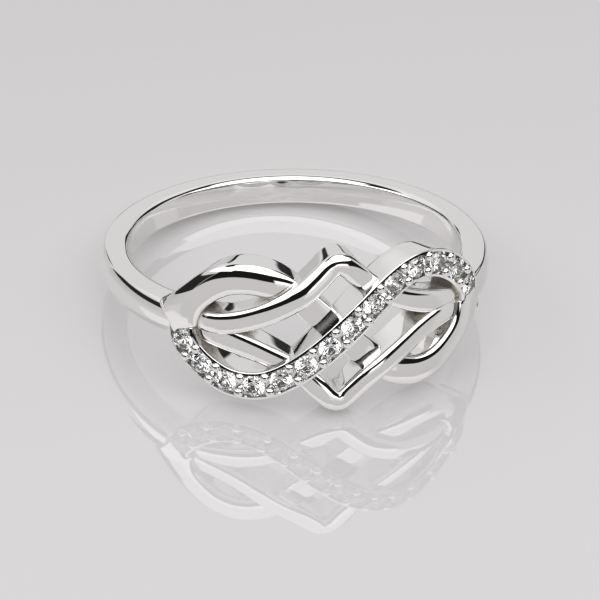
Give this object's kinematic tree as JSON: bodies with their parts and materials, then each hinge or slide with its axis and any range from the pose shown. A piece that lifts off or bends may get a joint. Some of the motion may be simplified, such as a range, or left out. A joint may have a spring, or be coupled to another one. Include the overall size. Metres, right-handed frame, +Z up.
{
  "type": "celtic knot ring",
  "caption": "Polished white metal finger ring with a plain shank and an openwork knot of interlaced bands, one of them set with a row of round clear stones",
  "frame": {"origin": "middle of the bounding box, on the surface that the ring lies on", "axes": "+Z up from that surface; the knot faces -Y; the finger hole's axis leans 10.8 degrees from +Z towards +Y, and X is square to it"},
  "size_m": [0.0204, 0.021, 0.0088],
  "materials": {
    "silver": "mirror polished",
    "stone": "polished facets"
  },
  "bodies": {
    "root": {"ring_body": "silver", "stone_01": "stone", "stone_02": "stone", "stone_03": "stone", "stone_04": "stone", "stone_05": "stone", "stone_06": "stone", "stone_07": "stone", "stone_08": "stone", "stone_09": "stone", "stone_10": "stone", "stone_11": "stone", "stone_12": "stone", "stone_13": "stone", "stone_14": "stone"}
  },
  "joints": []
}
